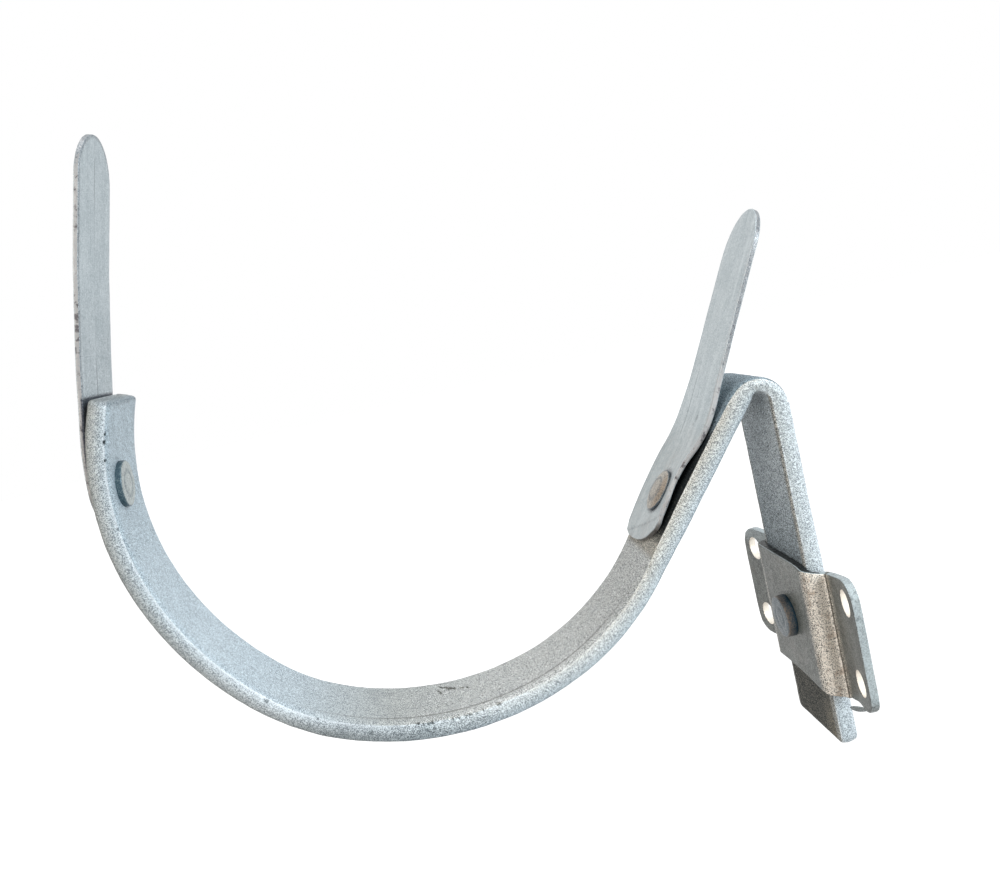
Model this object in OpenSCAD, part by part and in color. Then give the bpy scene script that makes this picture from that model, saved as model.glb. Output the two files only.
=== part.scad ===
// Half-round gutter bracket: a flat-bar hook with two bendable tongues and a riveted fixing plate.
// Frame: +X points into the fascia, Y runs along the gutter, Z is up.
// The origin is the middle of the four screw holes, halfway through the sheet that they go
// through. The fascia is a little behind it. All sizes are in millimetres.

/* [Flat bar] */
// Width of the flat bar
bar_w = 30; // [24:1:40]
// Thickness of the flat bar
bar_t = 5.5; // [5:0.1:7]
// Radius of the rolled edges of the bar
bar_edge_r = 1.8; // [0.5:0.1:2.4]
// Corner radius of the cut end of the leg
leg_corner_r = 2.5; // [1:0.5:8]

/* [Hook] */
// Inside radius of the cradle that carries the gutter
hook_r = 75.8; // [60:0.1:90]
// Height of the front end above the cradle's centre, as an angle
front_rise_deg = 24; // [10:1:35]
// Slope of the rear arm above the horizontal
arm_slope_deg = 50.3; // [48:0.1:54]
// Inside radius of the bend over the top of the rear arm
bend_r = 2.5; // [1:0.1:4]
// Distance from the cradle's centre to the inner face of the leg
leg_reach = 102.2; // [100:0.1:112]
// Height of the cradle's centre above the middle of the fixing plate
cradle_rise = 78; // [70:1:95]
// Length of the leg below the middle of the fixing plate
leg_tail = 37; // [26:1:60]
// Gap between the leg and the fascia, inside the fixing plate
leg_clear = 0.7; // [0.3:0.1:1.5]

/* [Tongues] */
// Width of both bendable tongues
tongue_w = 25; // [20:1:30]
// Thickness of both bendable tongues
tongue_t = 1.8; // [1:0.1:2.5]
// Length of the front tongue above its rivet
front_tongue_up = 94; // [70:1:120]
// Length of the front tongue below its rivet
front_tongue_down = 13; // [13:0.5:20]
// Inward set of the front tongue over its bend
front_tongue_set_deg = 10; // [2:0.5:20]
// Start of the front tongue's bend above its rivet
front_bend_start = 10; // [8:0.5:15]
// Length of the front tongue that is bent
front_bend_len = 20; // [10:1:50]
// Length of the rear tongue above its bend
rear_tongue_up = 66; // [50:1:90]
// Distance from the rear rivet up to the rear tongue's bend
rear_bend_start = 18; // [9:0.5:20]
// Length of the rear tongue below its rivet
rear_tongue_down = 16; // [13:0.5:20]
// Lift of the rear tongue over its bend
rear_tongue_set_deg = 12; // [2:0.5:20]
// Radius of the rear tongue's bend at its middle
rear_bend_r = 12; // [6:1:30]
// Corner radius of the cut lower end of the rear tongue
rear_corner_r = 5; // [1:0.5:8]
// Gap between each tongue and the bar
tongue_gap = 0.15; // [0.05:0.05:0.5]

/* [Rivets] */
// Radius of the shanks of all rivets
shank_r = 3; // [2:0.1:3.5]
// Gap round a shank in its hole
shank_gap = 0.1; // [0.05:0.05:0.3]
// Radius of the heads that hold the tongues
tongue_head_r = 6; // [4.5:0.1:7]
// Height of the heads that hold the tongues
tongue_head_h = 1.7; // [1:0.1:3]
// Height of the straight rim of those heads
tongue_head_rim = 0.5; // [0.2:0.1:0.8]
// Radius of the closed ends of the tongue rivets
tail_r = 5; // [4:0.1:6]
// Height of the closed ends of the tongue rivets
tail_h = 1.3; // [0.8:0.1:2.5]
// Height of the front rivet above the cradle's centre, as an angle
front_rivet_deg = 6.6; // [5:0.1:9]
// Sideways place of the front rivet
front_rivet_y = -3; // [-5:0.5:5]
// Distance of the rear rivet up the straight of the rear arm
rear_rivet_run = 20; // [18:0.5:24]
// Depth of the flat that the front rivet's head sits on
head_seat_depth = 0.35; // [0.3:0.05:0.6]
// Radius of the head that holds the fixing plate
plate_head_r = 6.3; // [5:0.1:8]
// Height of the head that holds the fixing plate
plate_head_h = 3; // [1.5:0.1:4]
// Chamfer of the rim of that head
plate_head_chamfer = 0.75; // [0.2:0.05:1]
// Radius of the countersunk closed end in the back of the leg
sunk_r = 5; // [4:0.1:6]
// Depth of the countersunk closed end
sunk_h = 2.2; // [1:0.1:3]

/* [Fixing plate] */
// Sheet thickness of the fixing plate
plate_t = 2.3; // [1.5:0.1:3]
// Height of the fixing plate
plate_h = 36; // [34:1:50]
// Width of each flange beyond the side of the saddle
flange_w = 21.5; // [19:0.5:35]
// Gap between the leg's edges and the sides of the saddle
saddle_gap = 1.7; // [0.5:0.1:3]
// Outside radius of the saddle's front bends
saddle_bend_r = 3.2; // [3.1:0.1:3.6]
// Inside radius of the bends at the foot of the saddle
foot_bend_r = 1.2; // [0.5:0.1:1.4]
// Forward set of the flanges, which the screws pull flat
flange_set_deg = 8; // [0:1:10]
// Corner radius of the flanges
flange_corner_r = 5.5; // [1:0.5:7]
// Radius of the screw holes
screw_hole_r = 3.7; // [2:0.1:4]
// Distance between the screw holes across the plate
screw_span_y = 68; // [66:1:70]
// Distance between the screw holes up the plate
screw_span_z = 23; // [18:1:25]

/* [Hidden] */
$fn = 96;
arc_steps = 6;      // straight steps in a bend drawn as an outline
edge_steps = 48;    // steps round the rolled edge of the bar
through = 40;       // longer than any drilled thickness
over = 1;           // how far a cutter reaches past what it trims
grain = 0.01;       // what the fascia's distance is rounded to
thinning = 0.04;    // how much each face of the bar draws in from one stretch to the next
lap = 0.3;          // how far a drawn-in stretch of the bar runs into its neighbour
zinc = [0.70, 0.75, 0.77];
sheet = [0.72, 0.77, 0.79];
dull = [0.52, 0.54, 0.53];

// Middle line of the fixing plate: the side of the saddle and the bend at its foot
side_mid = bar_w / 2 + saddle_gap + plate_t / 2;
foot_mid_r = foot_bend_r + plate_t / 2;

// The fascia stands behind the screw holes by the set of the flanges and half their sheet,
// to the nearest hundredth so that the leg's faces keep round numbers
flange_run = screw_span_y / 2 - side_mid - foot_mid_r * (1 + sin(flange_set_deg));
hole_stand = plate_t / 2 + foot_mid_r * (1 - cos(flange_set_deg)) + flange_run * tan(flange_set_deg);
fascia = round(hole_stand / grain) * grain;

// Inner face of the leg
leg_face = fascia - leg_clear - bar_t;

// The cradle's centre, and the straight of the rear arm that leaves it at a tangent
cradle = [leg_face - leg_reach, cradle_rise];
arm_dir = [cos(arm_slope_deg), sin(arm_slope_deg)];
arm_out = [sin(arm_slope_deg), -cos(arm_slope_deg)];
function on_arm(run, out) = cradle + run * arm_dir + out * arm_out;

// The bend over the top: its centre lies bend_r inside both the arm's underside and the leg
fold_deg = 90 - arm_slope_deg;
bend_x = leg_face - bend_r;
bend_run = ((bend_x - cradle[0]) - (hook_r + bar_t + bend_r) * arm_out[0]) / arm_dir[0];
bend_mid = on_arm(bend_run, hook_r + bar_t + bend_r);

// Directions at a rivet on the front arm, at an angle above the cradle's centre
front_out = [-cos(front_rivet_deg), sin(front_rivet_deg)];
function on_front(out) = cradle + out * front_out;

// From the cradle's centre line to the inner face of the rear arm
arm_face = hook_r + thinning;

// Every hole for a shank
bar_hole_r = shank_r + shank_gap;

// Points of a strip bent in its own plane: each step is [straight, turn, radius of the middle]
function turn_arc(p, h, turn, r, n) =
    let (c = p + r * sign(turn) * [-sin(h), cos(h)])
    [for (i = [0 : n]) let (a = h + turn * i / n)
        [c + r * sign(turn) * [sin(a), -cos(a)], a]];
function strip_path(p, h, steps, k = 0) =
    k == len(steps) ? [[p, h]] :
    let (run = steps[k][0], turn = steps[k][1], r = steps[k][2], q = p + run * [cos(h), sin(h)])
    turn == 0 ? concat([[p, h]], strip_path(q, h, steps, k + 1)) :
    let (bend = turn_arc(q, h, turn, r, arc_steps), last = bend[arc_steps])
    concat([[p, h]], [for (i = [0 : arc_steps - 1]) bend[i]],
           strip_path(last[0], last[1], steps, k + 1));
function side_of(path, off) = [for (s = path) s[0] + off * [-sin(s[1]), cos(s[1])]];
function back_to_front(list) = [for (i = [len(list) - 1 : -1 : 0]) list[i]];

// A strip of sheet that follows a path in the XZ plane
module strip(path, t, w) {
    rotate([90, 0, 0]) linear_extrude(w, center = true)
        polygon(concat(side_of(path, t / 2), back_to_front(side_of(path, -t / 2))));
}

// Turns a shape drawn along +Z to point along a direction of the XZ plane, from a place
module aim(place, dir, y = 0) {
    translate([place[0], y, place[1]]) rotate([0, atan2(dir[0], dir[1]), 0]) children();
}

// The rolled section of the bar: thickness along X, width along Y, each face drawn in a little
module bar_section(drawn) {
    r = bar_edge_r - drawn;
    t = bar_t - 2 * drawn;
    w = bar_w - 2 * drawn;
    square([t, w - 2 * r], center = true);
    square([t - 2 * r, w], center = true);
    for (x = [-1, 1], y = [-1, 1])
        translate([x * (t / 2 - r), y * (w / 2 - r)]) circle(r, $fn = edge_steps);
}

// A bend of the bar about a centre, from a start angle through a sweep, in the XZ plane
module bar_bend(mid, r, start, sweep, drawn = 0) {
    translate([mid[0], 0, mid[1]]) rotate([90, 0, 0]) rotate([0, 0, start])
        rotate_extrude(angle = sweep) translate([r + bar_t / 2, 0]) bar_section(drawn);
}

// A straight of the bar from a place on its middle line
module bar_straight(place, dir, len, drawn = 0) {
    aim(place, dir) linear_extrude(len) bar_section(drawn);
}

// Cradle, rear arm, bend and leg in one bent flat bar, drilled for three rivets
module hook_bar() {
    cradle_sweep = 360 - (180 - front_rise_deg) - fold_deg;
    leg_len = bend_mid[1] + leg_tail;
    bend_lap = lap / (bend_r + bar_t / 2) * 180 / PI;
    color(zinc) difference() {
        union() {
            bar_bend(cradle, hook_r, 180 - front_rise_deg, cradle_sweep);
            bar_straight(on_arm(-lap, hook_r + bar_t / 2), arm_dir, bend_run + lap, thinning);
            bar_bend(bend_mid, bend_r, -bend_lap, 180 - fold_deg + 2 * bend_lap, 2 * thinning);
            intersection() {
                bar_straight([leg_face + bar_t / 2, -leg_tail], [0, 1], leg_len);
                leg_outline(leg_len);
                leg_end(leg_len);
            }
        }
        aim(on_front(0), front_out, front_rivet_y) cylinder(r = bar_hole_r, h = hook_r + through);
        aim(on_front(hook_r + head_seat_depth - through), front_out, front_rivet_y)
            cylinder(r = tongue_head_r + shank_gap, h = through);
        aim(on_arm(rear_rivet_run, hook_r - through / 2), arm_out)
            cylinder(r = bar_hole_r, h = through);
        aim([-through / 2, 0], [1, 0]) cylinder(r = bar_hole_r, h = through);
        aim([fascia - leg_clear - sunk_h, 0], [1, 0])
            cylinder(r1 = bar_hole_r, r2 = sunk_r + shank_gap, h = sunk_h);
    }
}

// Outline of the leg with its two rounded lower corners, as thick as it needs
module leg_outline(len) {
    r = leg_corner_r;
    translate([leg_face, 0, -leg_tail]) rotate([90, 0, 90]) linear_extrude(bar_t) {
        translate([-bar_w / 2, r]) square([bar_w, len - r]);
        translate([r - bar_w / 2, 0]) square([bar_w - 2 * r, r]);
        for (y = [-1, 1]) translate([y * (bar_w / 2 - r), r]) circle(r);
    }
}

// Side view of the leg, its cut end rounded like the edges of the bar
module leg_end(len) {
    r = bar_edge_r;
    rotate([90, 0, 0]) linear_extrude(bar_w, center = true) {
        translate([leg_face, r - leg_tail]) square([bar_t, len - r]);
        translate([leg_face + r, -leg_tail]) square([bar_t - 2 * r, r]);
        for (x = [leg_face + r, leg_face + bar_t - r]) translate([x, r - leg_tail]) circle(r);
    }
}

// Front tongue: flat at its rivet, then an easy bend inward and a long straight
module front_strap() {
    seat = hook_r + bar_t + tongue_gap + tongue_t / 2;
    heading = 90 - front_rivet_deg;
    up = [cos(heading), sin(heading)];
    start = on_front(seat) - front_tongue_down * up;
    bend_mid_r = front_bend_len / (front_tongue_set_deg * PI / 180);
    straight = front_tongue_up - front_bend_start - front_bend_len;
    path = strip_path(start, heading, [
        [front_tongue_down + front_bend_start, -front_tongue_set_deg, bend_mid_r],
        [straight, 0, 0]]);
    tip = path[len(path) - 1];
    color(sheet) difference() {
        strip(path, tongue_t, tongue_w);
        aim(on_front(0), front_out, front_rivet_y) cylinder(r = bar_hole_r, h = hook_r + through);
        round_off(start, heading + 180);
        round_off(tip[0], tip[1]);
    }
}

// What is cut away from a tongue to leave a half-round end at a place, with a heading
module round_off(place, heading) {
    r = tongue_w / 2;
    translate([place[0], 0, place[1]]) rotate([0, -heading, 0])
        difference() {
            translate([-r, -r - over, -tongue_t]) cube([r + over, 2 * (r + over), 2 * tongue_t]);
            translate([-r, 0, -through / 2]) cylinder(r = r, h = through);
        }
}

// Rear tongue: its seat on the rear arm, then a bend away from the arm and a long straight
module rear_strap() {
    seat = arm_face - tongue_gap - tongue_t / 2;
    start = on_arm(rear_rivet_run - rear_tongue_down, seat);
    path = strip_path(start, arm_slope_deg, [
        [rear_tongue_down + rear_bend_start, rear_tongue_set_deg, rear_bend_r],
        [rear_tongue_up, 0, 0]]);
    tip = path[len(path) - 1];
    color(sheet) difference() {
        strip(path, tongue_t, tongue_w);
        aim(on_arm(rear_rivet_run, hook_r - through / 2), arm_out)
            cylinder(r = bar_hole_r, h = through);
        cut_off(start, arm_slope_deg);
        round_off(tip[0], tip[1]);
    }
}

// What is cut away from the rear tongue's lower end: half round on one side, a corner on the other
module cut_off(place, heading) {
    r = tongue_w / 2;
    c = rear_corner_r;
    translate([place[0], 0, place[1]]) rotate([0, -heading, 0])
        translate([0, 0, -tongue_t]) linear_extrude(2 * tongue_t) difference() {
            translate([-over, -r - over]) square([r + over, 2 * (r + over)]);
            translate([r, 0]) circle(r);
            square([r, r - c]);
            translate([c, 0]) square([r, r]);
            translate([c, r - c]) circle(c);
        }
}

// A rivet along +Z from the seat of its head: domed head below, shank and closed end above
module rivet(grip) {
    dome_h = tongue_head_h - tongue_head_rim;
    dome_r = (tongue_head_r * tongue_head_r + dome_h * dome_h) / (2 * dome_h);
    intersection() {
        translate([0, 0, -tongue_head_h]) cylinder(r = tongue_head_r, h = tongue_head_h);
        translate([0, 0, dome_r - tongue_head_h]) sphere(dome_r);
    }
    cylinder(r = shank_r, h = grip);
    translate([0, 0, grip]) cylinder(r = tail_r, h = tail_h);
}

// Rivet of the front tongue, its head inside the cradle on a small flat
module front_rivet() {
    seat = hook_r + head_seat_depth;
    grip = bar_t - head_seat_depth + tongue_gap + tongue_t;
    color(dull) aim(on_front(seat), front_out, front_rivet_y) rivet(grip);
}

// Rivet of the rear tongue, its head on the tongue
module rear_rivet() {
    sheet_face = arm_face - tongue_gap - tongue_t;
    arm_t = bar_t - 2 * thinning;
    color(dull) aim(on_arm(rear_rivet_run, sheet_face), arm_out)
        rivet(arm_t + tongue_gap + tongue_t);
}

// Rivet of the fixing plate, closed flush with the back of the leg
module plate_rivet() {
    front = leg_face - plate_t;
    edge = plate_head_chamfer;
    whole = plate_head_h + plate_t + bar_t;
    color(dull) aim([front - plate_head_h, 0], [1, 0]) {
        cylinder(r1 = plate_head_r - edge, r2 = plate_head_r, h = edge);
        translate([0, 0, edge]) cylinder(r = plate_head_r, h = plate_head_h - edge);
        cylinder(r = shank_r, h = whole);
        translate([0, 0, whole - sunk_h + shank_gap])
            cylinder(r1 = shank_r, r2 = sunk_r, h = sunk_h - shank_gap);
    }
}

// Fixing plate: a saddle over the leg with a flange on each side and four screw holes
module fixing_plate() {
    side = side_mid + plate_t / 2;
    front = leg_clear + bar_t + plate_t;
    fold = saddle_bend_r - plate_t / 2;
    wall = front - saddle_bend_r - foot_mid_r - plate_t / 2;
    path = strip_path([0, front - plate_t / 2], 0, [
        [side - saddle_bend_r, -90, fold],
        [wall, 90 + flange_set_deg, foot_mid_r],
        [flange_w, 0, 0]]);
    half_w = side + flange_w * cos(flange_set_deg);
    color(dull) difference() {
        intersection() {
            for (hand = [0, 1]) mirror([0, hand, 0])
                translate([fascia, 0, -plate_h / 2]) rotate([0, 0, 90]) linear_extrude(plate_h)
                    polygon(concat(side_of(path, plate_t / 2),
                                   back_to_front(side_of(path, -plate_t / 2))));
            plate_outline(half_w);
        }
        for (y = [-1, 1], z = [-1, 1])
            translate([-through / 2, y * screw_span_y / 2, z * screw_span_z / 2])
                rotate([0, 90, 0]) cylinder(r = screw_hole_r, h = through);
        aim([-through / 2, 0], [1, 0]) cylinder(r = bar_hole_r, h = through);
    }
}

// Front view of the fixing plate, with round corners, as deep as it needs
module plate_outline(half_w) {
    r = flange_corner_r;
    rotate([90, 0, 90]) linear_extrude(through, center = true) {
        square([2 * half_w, plate_h - 2 * r], center = true);
        square([2 * (half_w - r), plate_h], center = true);
        for (y = [-1, 1], z = [-1, 1])
            translate([y * (half_w - r), z * (plate_h / 2 - r)]) circle(r);
    }
}

hook_bar();
front_strap();
rear_strap();
front_rivet();
rear_rivet();
fixing_plate();
plate_rivet();
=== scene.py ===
from math import acos, atan2, copysign, cos, degrees, exp, hypot, pi, radians, sin, sqrt, tan
import bpy
import numpy as np
from mathutils import Matrix, Vector, noise
from mathutils.geometry import delaunay_2d_cdt


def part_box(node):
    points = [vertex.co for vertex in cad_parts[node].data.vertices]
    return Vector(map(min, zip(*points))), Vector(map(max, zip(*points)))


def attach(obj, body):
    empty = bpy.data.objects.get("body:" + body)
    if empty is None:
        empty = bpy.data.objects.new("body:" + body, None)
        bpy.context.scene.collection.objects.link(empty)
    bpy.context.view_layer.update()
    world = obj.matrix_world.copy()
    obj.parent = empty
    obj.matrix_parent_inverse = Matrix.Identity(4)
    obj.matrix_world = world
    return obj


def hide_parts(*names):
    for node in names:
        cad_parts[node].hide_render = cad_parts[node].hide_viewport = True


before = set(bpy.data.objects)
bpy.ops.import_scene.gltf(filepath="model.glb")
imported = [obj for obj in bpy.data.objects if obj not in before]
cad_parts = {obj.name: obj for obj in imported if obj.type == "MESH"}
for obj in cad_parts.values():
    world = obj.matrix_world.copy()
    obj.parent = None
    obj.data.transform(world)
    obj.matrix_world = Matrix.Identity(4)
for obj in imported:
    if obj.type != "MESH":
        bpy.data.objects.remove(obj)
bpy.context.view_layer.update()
mm = 0.001

# The leg stands this far in front of the fascia, so the bar's box gives the fascia's place
legClear = 0.7
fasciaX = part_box("hook_bar")[1].x / mm + legClear


def rough(point, size, seed=0.0):
    # smooth unevenness between -1 and 1, for a bump of the given size
    return noise.noise(Vector((point[0] / size + seed, point[1] / size, point[2] / size)))


def addObject(name, data):
    thing = bpy.data.objects.new(name, data)
    bpy.context.scene.collection.objects.link(thing)
    return thing


def makePiece(name, verts, faces, uvs, tone, material, node, slotName):
    mesh = bpy.data.meshes.new(name)
    mesh.from_pydata([tuple(v) for v in np.asarray(verts) * mm], [], faces)
    mesh.validate()
    mesh.polygons.foreach_set("use_smooth", [True] * len(mesh.polygons))
    corners = np.empty(len(mesh.loops), np.int32)
    mesh.loops.foreach_get("vertex_index", corners)
    layer = mesh.uv_layers.new(name="along")
    layer.data.foreach_set("uv", (np.asarray(uvs)[corners] * mm).ravel())
    shade = mesh.attributes.new("tone", "FLOAT_COLOR", "POINT")
    shade.data.foreach_set("color", np.asarray(tone, float).ravel())
    mesh.materials.append(material)
    piece = addObject(name, mesh)
    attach(piece, "root")
    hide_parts(node)


def fillCap(faces, ring, centre, flip):
    n = len(ring)
    for i in range(n):
        a, b = ring[i], ring[(i + 1) % n]
        faces.append((b, a, centre) if flip else (a, b, centre))


def closeEnd(verts, faces, uvs, tones, ring, tone, flip):
    # the end of a tube, closed by a fan from its middle
    verts.append(np.mean([verts[i] for i in ring], axis=0))
    uvs.append(uvs[ring[0]])
    tones.append(tone)
    fillCap(faces, ring, len(verts) - 1, flip)


def joinRings(faces, low, high):
    n = len(low)
    for i in range(n):
        j = (i + 1) % n
        faces.append((low[i], low[j], high[j], high[i]))


def smoothStep(x, low, high):
    t = min(1.0, max(0.0, (x - low) / (high - low)))
    return t * t * (3 - 2 * t)


def fade(x, low, high):
    # full up to low, and gone from high
    return 1 - smoothStep(x, low, high)


def tableValue(x, table):
    return float(np.interp(x, *zip(*table)))


def joinMeshes(parts):
    verts, faces, uvs, tones = [], [], [], []
    for v, f, uv, tone in parts:
        first = len(verts)
        verts += list(v)
        faces += [tuple(first + i for i in face) for face in f]
        uvs += list(uv)
        tones += list(tone)
    return verts, faces, uvs, tones


def roundedOutline(points, radius, step):
    # a closed outline, anticlockwise, with a fillet at each corner and points every step
    out = []
    n = len(points)
    for i in range(n):
        p = np.array(points[i], float)
        a = np.array(points[i - 1], float) - p
        b = np.array(points[(i + 1) % n], float) - p
        a /= np.linalg.norm(a)
        b /= np.linalg.norm(b)
        half = acos(max(-1, min(1, float(a @ b)))) / 2
        reach = radius / tan(half)
        centre = p + (a + b) / np.linalg.norm(a + b) * radius / sin(half)
        start, end = p + a * reach - centre, p + b * reach - centre
        t0, t1 = atan2(start[1], start[0]), atan2(end[1], end[0])
        while t1 < t0 - 1e-9:
            t1 += 2 * pi
        count = max(2, round(abs(t1 - t0) * radius / step))
        for k in range(count + 1):
            t = t0 + (t1 - t0) * k / count
            out.append(centre + radius * np.array((cos(t), sin(t))))
    return evenOutline(out, step)


def evenOutline(points, step):
    pts = np.array(points + [points[0]], float)
    length = np.r_[0, np.cumsum(np.linalg.norm(np.diff(pts, axis=0), axis=1))]
    count = max(8, int(round(length[-1] / step)))
    at = np.linspace(0, length[-1], count, endpoint=False)
    return np.c_[np.interp(at, length, pts[:, 0]), np.interp(at, length, pts[:, 1])]


def inwardNormals(loop):
    ahead = np.roll(loop, -1, axis=0) - np.roll(loop, 1, axis=0)
    ahead /= np.linalg.norm(ahead, axis=1)[:, None]
    return np.c_[-ahead[:, 1], ahead[:, 0]]


def insideLoop(points, loop):
    inside = np.zeros(len(points), bool)
    x, y = points[:, 0], points[:, 1]
    for (x0, y0), (x1, y1) in zip(loop, np.roll(loop, -1, axis=0)):
        crosses = (y0 > y) != (y1 > y)
        at = x0 + (y - y0) / ((y1 - y0) or 1e-12) * (x1 - x0)
        inside ^= crosses & (x < at)
    return inside


def sheetMesh(outline, holes, thick, rim, spacing, place, toneAt, shear=0.0):
    # a sheet cut to an outline with holes, its edges slightly rounded, then put in place
    # place(s, y, h) gives the point for a place on the flat sheet and a height off its middle
    land = rim + 0.25     # the flat part starts this far in from the edge
    loops = [outline] + [hole[::-1] for hole in holes]
    normals = [inwardNormals(loop) for loop in loops]
    lands = [loop + n * land for loop, n in zip(loops, normals)]
    low, high = outline.min(0), outline.max(0)
    grid = []
    for y in np.arange(low[1], high[1], spacing):
        xs = np.arange(low[0], high[0], spacing)
        grid.append(np.c_[xs, np.full(len(xs), y)])
    grid = np.concatenate(grid)
    keep = insideLoop(grid, lands[0])     # inner points, clear of every edge
    for loop in lands[1:]:
        keep &= ~insideLoop(grid, loop[::-1])
    everyEdge = np.concatenate(lands)
    for start in range(0, len(grid), 2000):
        part = grid[start:start + 2000]
        gap = np.sqrt(((part[:, None] - everyEdge[None]) ** 2).sum(2)).min(1)
        keep[start:start + 2000] &= gap > spacing * 0.55
    grid = grid[keep]
    flat, edges = [], []
    for loop in lands:
        first = len(flat)
        flat += [tuple(p) for p in loop]
        edges += [(first + i, first + (i + 1) % len(loop)) for i in range(len(loop))]
    flat += [tuple(p) for p in grid]
    found = delaunay_2d_cdt([Vector(p) for p in flat], edges, [], 2, 1e-7)
    points = np.array([tuple(p) for p in found[0]])
    origin = {}
    for i, sources in enumerate(found[3]):
        for source in sources:
            origin[source] = i
    verts, uvs, tones = [], [], []

    def add(p, h):
        verts.append(place(p[0], p[1], h))
        uvs.append((p[0], p[1]))
        tones.append(toneAt(p[0], p[1], h))
        return len(verts) - 1

    top = [add(p, thick / 2) for p in points]
    bottom = [add(p, -thick / 2) for p in points]
    faces = []
    middles = np.array([points[list(tri)].mean(0) for tri in found[2]])
    solid = insideLoop(middles, lands[0])
    for loop in lands[1:]:
        solid &= ~insideLoop(middles, loop)
    for tri, isSolid in zip(found[2], solid):
        if not isSolid:
            continue
        tri = list(tri)
        a, b, c = (points[i] for i in tri[:3])
        if (b[0] - a[0]) * (c[1] - a[1]) - (b[1] - a[1]) * (c[0] - a[0]) < 0:
            tri = tri[::-1]
        faces.append(tuple(top[i] for i in tri))
        faces.append(tuple(bottom[i] for i in reversed(tri)))
    quarter = [(rim * (1 - sin(a)), thick / 2 - rim * (1 - cos(a)))
               for a in np.radians((0, 30, 60, 90))]
    profile = quarter + [(0, thick / 2 - rim - 0.2), (0, 0), (0, 0.2 + rim - thick / 2)]
    profile += [(inset, -h) for inset, h in reversed(quarter)]
    first = 0
    for loop, normal in zip(loops, normals):
        rings = [[top[origin[first + i]] for i in range(len(loop))]]
        for inset, h in profile:
            ring = []
            for i, p in enumerate(loop):
                ragged = shear * rough((p[0], p[1], h * 3), 1.3) if abs(h) < thick / 2 - 0.1 else 0
                ring.append(add(p + normal[i] * (inset - ragged), h))
            rings.append(ring)
        rings.append([bottom[origin[first + i]] for i in range(len(loop))])
        for a, b in zip(rings[:-1], rings[1:]):
            joinRings(faces, b, a)
        first += len(loop)
    return verts, faces, uvs, tones


def turnedMesh(profile, segments, place, toneAt, wobble=0.0, seed=0.0):
    # a turned head: profile is (radius, height) from the middle of the top outward and down
    verts, faces, uvs, tones, rings = [], [], [], [], []
    for radius, height in profile:
        ring = []
        for i in range(segments if radius > 0 else 1):
            a = 2 * pi * i / segments
            x, y = radius * cos(a), radius * sin(a)
            push = wobble * rough((x, y, height), 2.4, seed)
            grow = 1.0
            if radius > 2:
                grow += wobble * 0.6 * rough((x, y, 0), 3.5, seed + 7) / radius
            verts.append(place(x * grow, y * grow, height + push))
            uvs.append((x, y))
            tones.append(toneAt(x, y, height))
            ring.append(len(verts) - 1)
        rings.append(ring)
    for a, b in zip(rings[:-1], rings[1:]):
        if len(a) == 1:
            fillCap(faces, b, a[0], False)
        else:
            joinRings(faces, b, a)
    if len(rings[-1]) > 1:
        verts.append(place(0, 0, profile[-1][1]))
        uvs.append((0, 0))
        tones.append(toneAt(0, 0, profile[-1][1]))
        fillCap(faces, rings[-1], len(verts) - 1, True)
    return verts, faces, uvs, tones


def addNode(tree, kind, values=None, **settings):
    # a shader node with its settings, and a value or a link for each of its inputs
    node = tree.nodes.new("ShaderNode" + kind)
    for key, value in settings.items():
        setattr(node, key, value)
    for key, value in (values or {}).items():
        if isinstance(value, bpy.types.NodeSocket):
            tree.links.new(value, node.inputs[key])
        else:
            node.inputs[key].default_value = value
    return node


def mathNode(tree, operation, a, b=0.0, clamp=False):
    node = addNode(tree, "Math", {0: a, 1: b}, operation=operation, use_clamp=clamp)
    return node.outputs[0]


def plus(tree, a, b, clamp=False):
    return mathNode(tree, "ADD", a, b, clamp)


def minus(tree, a, b):
    return mathNode(tree, "SUBTRACT", a, b)


def times(tree, a, b, clamp=False):
    return mathNode(tree, "MULTIPLY", a, b, clamp)


def rangeNode(tree, value, low, high, toLow=0.0, toHigh=1.0):
    return addNode(tree, "MapRange", {0: value, 1: low, 2: high, 3: toLow, 4: toHigh},
                   clamp=True).outputs[0]


def lineNode(tree, value, at, inner, outer, strength=1.0):
    # a line where the value is near one place, full to the inner distance and gone at the outer
    off = mathNode(tree, "ABSOLUTE", minus(tree, value, at))
    return rangeNode(tree, off, inner, outer, strength, 0.0)


def bandNode(tree, value, rise, fall, top=1.0, after=0.0):
    # comes up over one stretch and goes down over another
    return times(tree, rangeNode(tree, value, *rise, 0.0, top),
                 rangeNode(tree, value, *fall, 1.0, after))


def mixColours(tree, factor, a, b, blend="MIX"):
    return addNode(tree, "Mix", {0: factor, 6: a, 7: b}, data_type="RGBA",
                   blend_type=blend).outputs[2]


def noiseNode(tree, vector, scale, detail=4.0, roughness=0.6, distortion=0.0):
    return addNode(tree, "TexNoise", {
        "Vector": vector, "Scale": scale, "Detail": detail, "Roughness": roughness,
        "Distortion": distortion}).outputs["Fac"]


def newGroup(name, inputs, outputs):
    # an input's default tells its kind: None is a vector, four numbers are a colour
    group = bpy.data.node_groups.new(name, "ShaderNodeTree")
    for label, value in inputs.items():
        kind = "Vector" if value is None else "Float" if isinstance(value, float) else "Color"
        socket = group.interface.new_socket(label, in_out="INPUT", socket_type="NodeSocket" + kind)
        if value is not None:
            socket.default_value = value
    for label in outputs:
        kind = "Color" if label == "Colour" else "Float"
        group.interface.new_socket(label, in_out="OUTPUT", socket_type="NodeSocket" + kind)
    start = group.nodes.new("NodeGroupInput")
    end = group.nodes.new("NodeGroupOutput")
    return group, start.outputs, end.inputs


def putOut(group, out, values):
    for label, value in values.items():
        group.links.new(value, out[label])
    return group


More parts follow.
